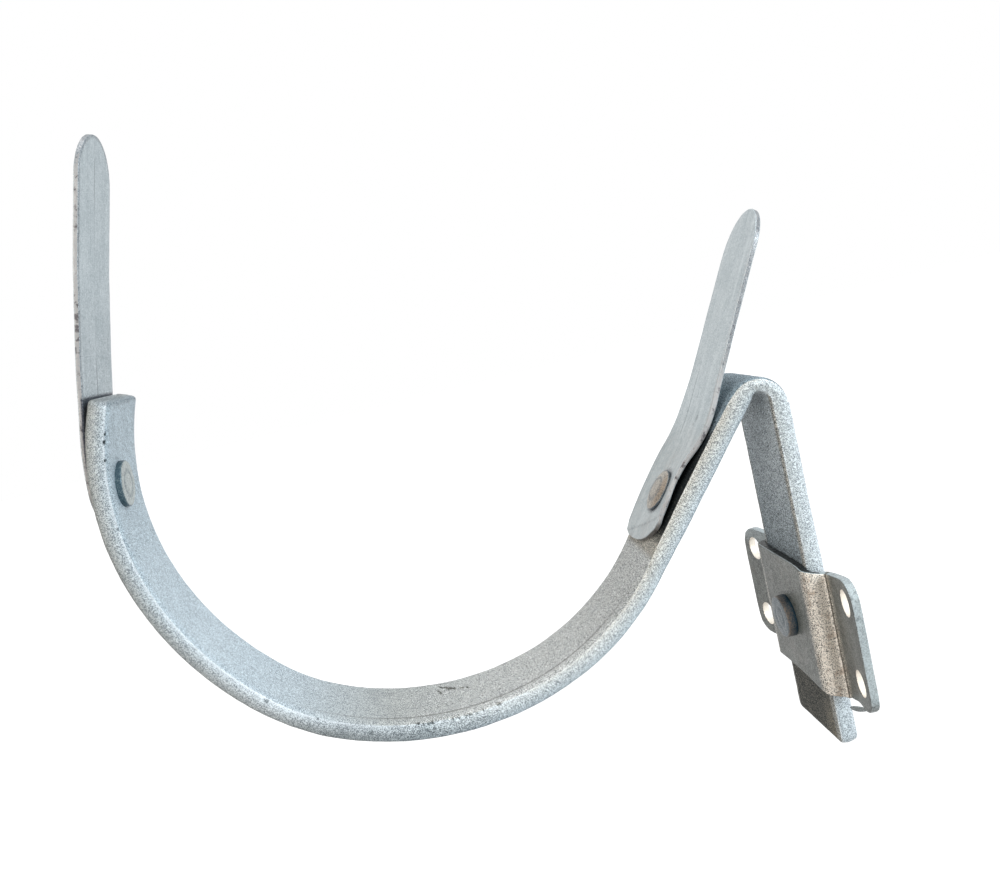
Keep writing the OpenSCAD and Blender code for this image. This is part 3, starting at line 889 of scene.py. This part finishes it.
def placeFront(f):
    rise = radians(rivetRise)
    zs = np.arange(f["path"][0][0], f["path"][-1][0], 0.25)
    xs = np.interp(zs, *zip(*f["path"]))
    kernel = np.exp(-np.linspace(-2.2, 2.2, 31) ** 2)
    kernel /= kernel.sum()
    xs = np.convolve(np.pad(xs, 15, mode="reflect", reflect_type="odd"), kernel, mode="valid")
    length = np.r_[0, np.cumsum(np.hypot(np.diff(xs), np.diff(zs)))]
    rivetZ = cradle[1] + (bar["insideRadius"] + bar["thick"]) * sin(rise)
    length = length - np.interp(rivetZ, zs, length) + f["down"]
    heading = np.arctan2(np.gradient(zs), np.gradient(xs))
    twist = tan(radians(f["twist"]))

    def place(s, y, h):
        a = np.interp(s, length, heading)
        lean = twist * smoothStep(s, f["down"] + 6, f["down"] + 30) * (y + f["width"] / 2)
        h = h + f["thick"] / 2 + lean + 0.05 * rough((s, y, 0), 16.0, 3)
        x = cradle[0] + np.interp(s, length, xs) + h * sin(a)
        return (x, y, np.interp(s, length, zs) - h * cos(a))
    return place


def frontTone(s, y, h):
    # masks: edge, grime and painted shade, warm, and how far the drawn line shows
    f = frontTongue
    length = f["down"] + f["up"]
    side = 1.0 if abs(h) < f["thick"] / 2 - 0.2 else 0.0   # on the sheared edge
    fromTip = hypot(max(0.0, s - (length - 12.5)), y)
    tipEdge = smoothStep(fromTip, 11.4, 12.3) * smoothStep(s, length - 11, length - 5)
    shadeAtBarEnd = fade(s, 37.2, 38.0) if h > 0 else 0.0        # painted shadow where the tongue goes behind the bar's end
    line = 0.12 + 0.4 * smoothStep(s, 86, 92) * fade(s, 98, 101) + 0.6 * fade(s, 44, 48)
    rimLine = 0.5 if h > f["thick"] / 2 - 0.2 and -y > f["width"] / 2 - 0.7 else 0.0
    low = 0.13 * fade(s, 45, 75)
    return (side * (1 - 0.6 * tipEdge), max(0.95 * shadeAtBarEnd, 0.5 * tipEdge, rimLine, low),
            0.15 * side, min(1.0, line) if h > 0 else 0.2)


length = frontTongue["down"] + frontTongue["up"]
half = frontTongue["width"] / 2
outline = roundedOutline([(0, -half), (length, -half), (length, half), (0, half)],
                         half - 0.01, sheetStep)
data = sheetMesh(outline, [], frontTongue["thick"], frontTongue["rim"], sheetStep,
                 placeFront(frontTongue), frontTone, shear=tongueShear)
makePiece("frontTongue", *data, strapMaterial, "front_strap", "tongue")
print("front tongue made")


rearTongue = {
    "width": 25.0, "thick": 1.4, "tip": 103.5, "rim": 0.25, "rivetRun": 20.0, "lineSide": 5.6,
    "lie": 74.7,   # how far out from the cradle's centre it lies on the arm
    # dents: distance up the arm, across, radius, darkness, depth
    "dents": [(44.0, -4.0, 0.9, 0.7, 0.15), (41.5, -2.6, 0.7, 0.5, 0.12),
        (42.8, -4.2, 0.6, 0.3, 0.1), (49.0, 1.0, 0.5, 0.3, 0.08), (33.0, -6.0, 0.6, 0.35, 0.1),
        (28.0, -8.0, 0.5, 0.35, 0.08)],
    # height of the middle, the far edge and the near edge, by distance up the arm
    "middle": [(0, 74.7), (30, 74.7), (36, 74.5), (42, 73.7), (48, 72.5), (54, 71.2), (90, 63.5),
        (104, 60.9)],
    "farEdge": [(0, 74.4), (6, 74.0), (12, 73.4), (18, 73.0), (24, 72.8), (30, 72.8), (36, 73.2),
        (42, 73.0), (48, 72.2), (54, 71.3), (90, 63.6), (104, 61.0)],
    "nearEdge": [(0, 74.6), (12, 73.9), (18, 73.4), (24, 72.6), (30, 72.9), (36, 74.1),
        (42, 74.3), (48, 73.3), (54, 71.7), (66, 68.9), (90, 63.4), (104, 60.8)],
    # its cut lower end, as distance up the arm and place across
    "lowerEnd": [(8.0, 12.5), (4.9, 11.4), (3.8, 8.8), (3.8, 4.3), (4.2, 1.0), (5.0, -2.2),
        (6.4, -5.5), (8.2, -8.2), (9.9, -10.8), (12.0, -12.5), (20.0, -12.3), (25, -11.6),
        (30, -11.7), (38, -12.5)]}


def placeRear(r):
    def middle(s, y):
        side = min(1.0, abs(y) / (r["width"] / 2))
        edge = tableValue(s, r["farEdge"] if y > 0 else r["nearEdge"])
        return tableValue(s, r["middle"]) * (1 - side ** 2) + edge * side ** 2

    def place(s, y, h):
        here = np.mean([middle(s + d, y) for d in (-1.6, -0.8, 0, 0.8, 1.6)])
        tilt = (middle(s + 2, y) - middle(s - 2, y)) / 4
        normal = armDir * tilt - armOut
        normal /= np.linalg.norm(normal)
        sunk = sum(deep * exp(-((s - s0) ** 2 + (y - y0) ** 2) / size ** 2)
                   for s0, y0, size, dark, deep in r["dents"])
        sunk += 0.12 * max(0.0, 9.1 - (s + 0.41 * y))   # its lower end is bent down along a ridge
        p = onArm(s, here) + normal * (h + 0.05 * rough((s, y, 4), 9.0, 3) - sunk)
        return (p[0], y, p[1])
    return place


def rearTone(s, y, h):
    # masks: edge, grime and painted shade, warm, and how far the drawn line shows
    r = rearTongue
    side = 1.0 if abs(h) < r["thick"] / 2 - 0.2 else 0.0
    lower = fade(s, 8, 14)
    worn = 0.5 * fade(s, 34, 44) * smoothStep(rough((s, y, 0), 6.0, 2), 0.0, 0.5)
    fromRivet = hypot(s - r["rivetRun"], y)
    shadeRoundRivet = 0.9 * fade(abs(fromRivet - 6.4), 0.3, 1.0) if h > 0 else 0.0   # painted shade round the rivet's foot
    dented = max(dark * fade(hypot(s - s0, y - y0), 0.3 * size, size)
                 for s0, y0, size, dark, deep in r["dents"])
    line = 0.5 * smoothStep(s, 36, 40) * fade(s, 54, 62) if h > 0 else 0.0
    # a dark line along the ridge where the lower end bends: painted shade in the crease
    ridge = 0.3 * fade(abs(s + 0.41 * y - 9.0), 0.15, 0.5) if h > 0 else 0.0
    rimLine = 0.6 if h > 0 and side == 0 and s > 14 and -y > r["width"] / 2 - 0.9 else 0.0
    upper = smoothStep(s, 52, 66)
    return (max(side * (1 - 0.5 * lower - 0.4 * upper), 0.35 * worn, rimLine * (1 - 0.6 * upper)),
            max(side * (0.45 * lower + 0.48 * upper), 0.75 * shadeRoundRivet, ridge,
                dented if h > 0 else 0.0),
            0.5 * lower * side + 0.25 * fade(s, 30, 50), line)


half = rearTongue["width"] / 2
tip = [(rearTongue["tip"] - half + half * sin(a), -half * cos(a))
       for a in np.linspace(0, pi, 60)]
outline = evenOutline([np.array(p, float) for p in rearTongue["lowerEnd"] + tip], sheetStep)
verts, faces, uvs, tones = sheetMesh(
    outline, [], rearTongue["thick"], rearTongue["rim"], sheetStep, placeRear(rearTongue),
    rearTone, shear=tongueShear)
# the drawn line lies off the middle of this tongue
data = verts, faces, [(s, y - rearTongue["lineSide"]) for s, y in uvs], tones
makePiece("rearTongue", *data, strapMaterial, "rear_strap", "tongue")
print("rear tongue made")


plate = {
    "thick": 2.3, "web": 15.8, "foldRadius": 2.05, "wall": 1.8, "footRadius": 2.35,
    "flange": 21.5, "flangeSet": 8.0, "holeRadius": 3.7, "holeY": 34.0, "holeZ": 11.5,
    "rim": 0.25, "edgeStep": 0.6, "sheetStep": 0.65, "shear": 0.1, "holeSides": 44,
    # the burr: along the sheet, height, half thickness, how far it stands forward
    "burr": [(-36.0, -19.9, 0.3, 0.1), (-34.6, -20.8, 0.5, 0.2), (-32.8, -21.6, 0.65, 0.5),
        (-30.8, -22.3, 0.75, 0.9), (-28.8, -22.9, 0.75, 1.3), (-27.0, -23.4, 0.6, 1.7),
        (-25.4, -23.8, 0.3, 2.0)],
    # half lengths and heights of its flat outline, round from the near lower corner
    "outline": [(-45.3, -13.0), (-44.8, -15.6), (-43.5, -17.3), (-41.6, -18.6), (-39.2, -19.4),
        (-36.6, -19.4), (-34, -19.3), (-31.2, -19.7), (-27.9, -20.7), (-22.9, -21.9),
        (-20.6, -21.4), (-18.6, -20.5), (-16, -19.4), (-10, -18.9), (0, -18.3), (10, -18.2),
        (17, -18.4), (25, -18.6), (32, -18.4), (40.3, -18.3), (42.6, -17.5), (44.7, -15.9),
        (45.4, -13.2), (45.6, -9), (45.6, 7), (45.4, 11.0), (45.1, 13.4), (43.4, 16.3),
        (40.9, 17.8), (37.6, 18.4), (32, 18.3), (25, 18.1), (-10, 18.1), (-14.5, 17.8),
        (-17.6, 17.0), (-20.6, 15.8), (-24, 15.5), (-29.7, 16.6), (-34.2, 17.5), (-38.3, 18.1),
        (-41.2, 17.8), (-43.4, 16.8), (-45.0, 15.1), (-45.5, 13.2), (-45.6, 10.5), (-45.6, 5),
        (-45.4, -3)]}


def plateSteps(p):
    # turns along half the plate: straight lengths and bends, as (length, turn)
    return [(p["web"], 0.0), (p["foldRadius"] * pi / 2, -90.0), (p["wall"], 0.0),
            (p["footRadius"] * radians(90 + p["flangeSet"]), 90 + p["flangeSet"]),
            (p["flange"], 0.0)]


def placePlate(p):
    samples, headings, here, angle = [0.0], [0.0], 0.0, 0.0
    for stepLength, turn in plateSteps(p):
        count = max(2, int(stepLength / 0.1))
        for k in range(1, count + 1):
            samples.append(here + stepLength * k / count)
            headings.append(angle + turn * k / count)
        here += stepLength
        angle += turn
    samples, headings = np.array(samples), np.radians(headings)
    middle = (headings[1:] + headings[:-1]) / 2
    gaps = np.diff(samples)
    ys = np.r_[0, np.cumsum(np.cos(middle) * gaps)]
    fs = (bar["thick"] + legClear + p["thick"] / 2) + np.r_[0, np.cumsum(np.sin(middle) * gaps)]

    def place(u, z, h):
        side = 1 if u >= 0 else -1
        u = abs(u)
        y, f, a = (np.interp(u, samples, v) for v in (ys, fs, headings))
        h = h + 0.04 * rough((u * side, z, 2), 8.0, 1)
        return (fasciaX - f - h * cos(a), side * (y - h * sin(a)), z)

    def reachOf(target):
        # how far along the sheet a place across the plate is
        return float(np.interp(target, ys, samples))
    return place, reachOf


place, reachOf = placePlate(plate)
holeCentres = [(y * reachOf(plate["holeY"]), z * plate["holeZ"]) for y in (-1, 1) for z in (-1, 1)]


def plateTone(u, z, h):
    # masks: edge, grime and painted shade, warm, and where the sheet is pale and speckled
    p = plate
    across = abs(u)
    rim = p["thick"] / 2 - 0.05
    onSide = abs(h) < rim
    nearHole = min(hypot(u - c[0], z - c[1]) for c in holeCentres)
    if onSide and nearHole < p["holeRadius"] + 0.4:
        return (0.0, 0.0, 0.0, 2.0)
    fold = smoothStep(across, 14.5, 18.2) * fade(across, 22.5, 23.2)
    if onSide:
        if z > 13 and across < 21:          # top of the saddle: painted shade, with a painted highlight along its front rim
            return (1.0, 0.0, 0.0, 0.0) if h > rim - 0.36 else (0.0, 0.85, 0.0, 0.0)
        if z < -15 and across < 30:
            return (0.1, 0.55, 0.3, 0.0)
        scratchy = 0.6 * smoothStep(rough((u, z, h * 2), 1.1, 6), 0.1, 0.5)
        low = smoothStep(-z, 13.5, 17)
        dark = scratchy * (0.8 if 8 < z < 17 else 0.3) + 0.1 * low
        return (0.85 - 0.5 * low, dark, 0.8 * low, 0.0)
    if h < 0:
        return (0.1, 0.1, 0.25, 0.1)
    if across > 23.0:
        if u > 0:                           # far flange
            return (0.55 * smoothStep(z, 12, 16), 0.05, 0.45, 0.0)
        # beside the fold the near flange is painted paler and less dark: painted light in the
        # fold's shaded corner
        inFold = fade(across, 23.5, 28)
        rimDark = 0.28 * smoothStep(across, 40, 44)
        return (0.0, 0.28 - 0.2 * inFold + rimDark, 0.45, 0.3 * inFold)
    low = smoothStep(-z, 6, 16)
    return (0.0, 0.17 * (1 - fold) + 0.1 * low * fade(across, 14.5, 18.2), 0.3 + 0.35 * fold,
            0.79 * fold)


def zincBurr(p, place):
    # a spike of zinc left on the lower edge, beside the leg
    verts, faces, uvs, tones, rings = [], [], [], [], []
    for u, z, size, lift in p["burr"]:
        rings.append([])
        for a in np.linspace(0, 2 * pi, 12, endpoint=False):
            up = size * sin(a)
            rings[-1].append(len(verts))
            verts.append(place(u + 0.15 * up, z + up + 0.08 * rough((u, a, z), 0.9),
                               lift + 1.1 * size * cos(a)))
            uvs.append((u, z))
            # its top is painted light and its underside dark: painted highlight and shade
            tones.append((0.9, 0.0, 0, 0) if up > 0.6 * size else (0.45, 0.42, 0.0, 0.0))
    for low, high in zip(rings[:-1], rings[1:]):
        joinRings(faces, low, high)
    for ring, flip in ((rings[0], True), (rings[-1], False)):
        closeEnd(verts, faces, uvs, tones, ring, tones[ring[0]], flip)
    return verts, faces, uvs, tones


corners = [np.array(p, float) for p in plate["outline"]]
angles = np.linspace(0, 2 * pi, plate["holeSides"], endpoint=False)
holes = [np.array(c) + plate["holeRadius"] * np.c_[np.cos(angles), np.sin(angles)]
         for c in holeCentres]
data = sheetMesh(evenOutline(corners, plate["edgeStep"]), holes, plate["thick"], plate["rim"],
                 plate["sheetStep"], place, plateTone, shear=plate["shear"])
makePiece("fixingPlate", *joinMeshes([data, zincBurr(plate, place)]), plateMaterial,
          "fixing_plate", "plate")
print("fixing plate made")


rivets = {
    "frontHigh": rivetRise, "frontSide": -4.4, "plateHigh": -0.6,
    # radius and height of each head, and of the closed ends behind
    "frontHead": (6.3, 2.1), "rearHead": (6.2, 1.8), "plateHead": (6.3, 3.0),
    "closedEnd": (5.0, 1.2), "sunkEnd": 5.0,
    "frontSink": 0.45, "backLift": 0.4,   # the tongue and the bar aren't quite flat under a head
    "headSides": 56, "backSides": 40}


def axisPlace(centre, direction, y0):
    # a turned piece drawn about +Z, put at a place in the side plane and pointing that way
    direction = np.array(direction) / np.linalg.norm(direction)
    side = np.array((-direction[1], direction[0]))

    def place(x, y, h):
        p = np.array(centre) + direction * h + side * x
        return (p[0], y0 + y, p[1])
    return place


def flatHead(radius, height, ring):
    # a nearly flat head with a shallow ring pressed into it, and a straight wall
    profile = [(0, height - 0.1)]
    for at in np.linspace(0.35, radius - 0.45, 18):
        pressed = -0.16 * exp(-((at - radius * ring) / 0.55) ** 2)
        profile.append((at, height + pressed - 0.12 * (at / radius) ** 3))
    return profile + [(radius - 0.2, height - 0.16), (radius - 0.06, height - 0.3),
                      (radius, height - 0.5), (radius + 0.05, 0.25), (radius + 0.1, -0.3)]


def domedHead(radius, height, rim):
    # low dome over a short straight rim
    profile = [(0, height)]
    for at in np.linspace(0.35, radius - 0.3, 18):
        dome = rim + (height - rim) * (1 - (at / radius) ** 3.2)
        profile.append((at, dome - 0.05 * exp(-((at - radius * 0.5) / 0.5) ** 2)))
    return profile + [(radius - 0.1, rim + 0.12), (radius, rim - 0.1), (radius + 0.03, -0.35)]


def headTone(radius, wall, face):
    # wall and face: the masks on the straight wall and on the face
    def tone(x, y, h):
        out = hypot(x, y)
        onWall = smoothStep(out, radius - 0.35, radius - 0.02)
        ring = 0.5 * exp(-((out - radius * 0.55) / 0.6) ** 2)
        values = [a * (1 - onWall) + b * onWall for a, b in zip(face(x, y), wall(x, y, h))]
        values[1] = max(values[1], ring * (1 - onWall))
        return tuple(values)
    return tone


def plainTone(x, y, h):
    return (0.2, 0.1, 0.2, 0.0)


def makeRivet(name, node, head, tone, headPlace, back, backPlace, wobble, seeds):
    # a rivet is its head and, behind, its closed end
    seen = turnedMesh(head, rivets["headSides"], headPlace, tone, wobble, seeds[0])
    behind = turnedMesh(back, rivets["backSides"], backPlace, plainTone, 0.08, seeds[1])
    makePiece(name, *joinMeshes([seen, behind]), rivetMaterial, node, "rivet")


def makeRivets(r):
    inner, outer = bar["insideRadius"], bar["insideRadius"] + bar["thick"]
    end = domedHead(*r["closedEnd"], 0.5)

    rise = radians(r["frontHigh"])
    out = np.array((-cos(rise), sin(rise)))
    radius, height = r["frontHead"]
    # the front head's wall is painted dark as shade
    tone = headTone(radius, lambda x, y, h: (0.0, 0.74, 0.0, 1.0),
                    lambda x, y: (0.42, 0.0, 0.0, 0.9))
    behind = outer + frontTongue["thick"] + r["backLift"]
    makeRivet("frontRivet", "front_rivet", flatHead(radius, height, 0.55), tone,
              axisPlace(cradle + (inner + r["frontSink"]) * out, -out, r["frontSide"]),
              end, axisPlace(cradle + behind * out, out, r["frontSide"]), 0.09, (0, 2))

    radius, height = r["rearHead"]
    run, lie = rearTongue["rivetRun"], rearTongue["lie"] - rearTongue["thick"] / 2 - 0.05
    # the rear head's wall is painted dark as shade, and its face warms towards one side as a
    # painted reflection
    tone = headTone(radius, lambda x, y, h: (0.0, 0.8, 0.3, 0.0),
                    lambda x, y: (0.1, 0.0, 0.35 + 0.5 * smoothStep(-y, 1.0, 4.5), 0.1))
    makeRivet("rearRivet", "rear_rivet", domedHead(radius, height, 0.7), tone,
              axisPlace(onArm(run, lie), -armOut, 0.0),
              end, axisPlace(onArm(run, outer), armOut, 0.0), 0.06, (3, 4))

    radius, height = r["plateHead"]
    sunk = r["sunkEnd"]
    # the plate head's wall is painted dark as shade, darkest at its foot, with a brown band
    tone = headTone(radius, lambda x, y, h: (0.0, 0.5 + 0.5 * fade(h, 0.4, 1.5), 0.9, 0.0),
                    lambda x, y: (0.0, 0.8, 0.2, 0.0))
    back = [(0, 0.08), (2.5, 0.12), (sunk - 0.5, 0.1), (sunk, -0.1), (sunk - 0.1, -0.7)]
    makeRivet("plateRivet", "plate_rivet", flatHead(radius, height, 0.5), tone,
              axisPlace((legFace - plate["thick"], r["plateHigh"]), (-1, 0), 0.0),
              back, axisPlace((legFace + bar["thick"] + 0.5, 0.0), (1, 0), 0.0), 0.08, (5, 6))


makeRivets(rivets)
print("rivets made")


view = {
    "place": (-100.994, -282.218, 109.764),   # from the fascia, in millimetres
    "right": (0.966682, -0.100931, -0.235242), "up": (0.246290, 0.116269, 0.962197),
    "back": (-0.069765, -0.988076, 0.137254), "lens": 36.0, "sensor": 36.0, "nearest": 0.01}


def makeCamera(v):
    data = bpy.data.cameras.new("camera")
    data.sensor_width = v["sensor"]
    data.lens = v["lens"]
    data.clip_start = v["nearest"]
    camera = addObject("camera", data)
    turn = Matrix((v["right"], v["up"], v["back"])).transposed().to_4x4()
    x, y, z = v["place"]
    camera.matrix_world = Matrix.Translation(((x + fasciaX) * mm, y * mm, z * mm)) @ turn
    bpy.context.scene.camera = camera


lampAim = (-0.1, 0.0, 0.06)
lamps = {
    "right": {"place": (0.42, -0.52, 0.30), "size": 0.35, "power": 5.6,
              "colour": (0.88, 0.95, 1.0)},
    "left": {"place": (-0.75, -0.5, 0.25), "size": 0.6, "power": 4.0,
             "colour": (1.0, 0.93, 0.86)},
    "top": {"place": (-0.12, 0.0, 0.85), "size": 0.5, "power": 3.4,
            "colour": (0.96, 0.98, 1.0)}}


def makeLamp(name, lamp):
    data = bpy.data.lights.new(name, "AREA")
    data.shape = "SQUARE"
    data.size = lamp["size"]
    data.energy = lamp["power"]
    data.color = lamp["colour"]
    place = Vector(lamp["place"])
    turn = (place - Vector(lampAim)).to_track_quat("Z", "Y").to_matrix().to_4x4()
    addObject(name, data).matrix_world = Matrix.Translation(place) @ turn


studio = {"level": 0.42, "sky": (0.96, 0.98, 1.0, 1), "white": (1, 1, 1, 1),
          "floorAt": -0.34, "floorSize": 12.0, "floorColour": (0.42, 0.42, 0.42, 1),
          "floorGlow": 0.62, "whiteFrom": 0.3, "whiteAt": 1.1}   # the floor runs out into white


def backgroundRays(tree):
    rays = addNode(tree, "LightPath").outputs
    seen = mathNode(tree, "MAXIMUM", rays["Is Camera Ray"], rays["Is Glossy Ray"])
    return mathNode(tree, "MAXIMUM", seen, rays["Is Transmission Ray"])


def makeWorld(s):
    world = bpy.data.worlds.new("studio")
    bpy.context.scene.world = world
    tree = clearTree(world)
    light = addNode(tree, "Background", {"Color": s["sky"], "Strength": s["level"]})
    seen = addNode(tree, "Background", {"Color": s["white"], "Strength": 1.0})
    mix = addNode(tree, "MixShader", {0: backgroundRays(tree), 1: light.outputs[0],
                                                2: seen.outputs[0]})
    addNode(tree, "OutputWorld", {0: mix.outputs[0]})


def makeFloor(s):
    mesh = bpy.data.meshes.new("floor")
    half = s["floorSize"] / 2
    corners = [(x * half, y * half, s["floorAt"]) for x, y in ((-1, -1), (1, -1), (1, 1), (-1, 1))]
    mesh.from_pydata(corners, [], [(0, 1, 2, 3)])
    floor = addObject("floor", mesh)
    material = bpy.data.materials.new("paleFloor")
    tree = clearTree(material)
    matt = addNode(tree, "BsdfDiffuse", {"Color": s["floorColour"]})
    where = addNode(tree, "TexCoord").outputs["Object"]
    reach = addNode(tree, "VectorMath", {0: where}, operation="LENGTH").outputs["Value"]
    white = rangeNode(tree, reach, s["whiteFrom"], s["whiteAt"], s["floorGlow"], 1.0)
    glow = addNode(tree, "Emission", {
        "Color": s["white"], "Strength": times(tree, backgroundRays(tree), white)})
    both = addNode(tree, "AddShader", {0: matt.outputs[0], 1: glow.outputs[0]})
    addNode(tree, "OutputMaterial", {0: both.outputs[0]})
    mesh.materials.append(material)


makeCamera(view)
for name, lamp in lamps.items():
    makeLamp(name, lamp)
makeWorld(studio)
makeFloor(studio)
bpy.context.scene.view_settings.view_transform = "Standard"
print("camera, lamps and floor made")
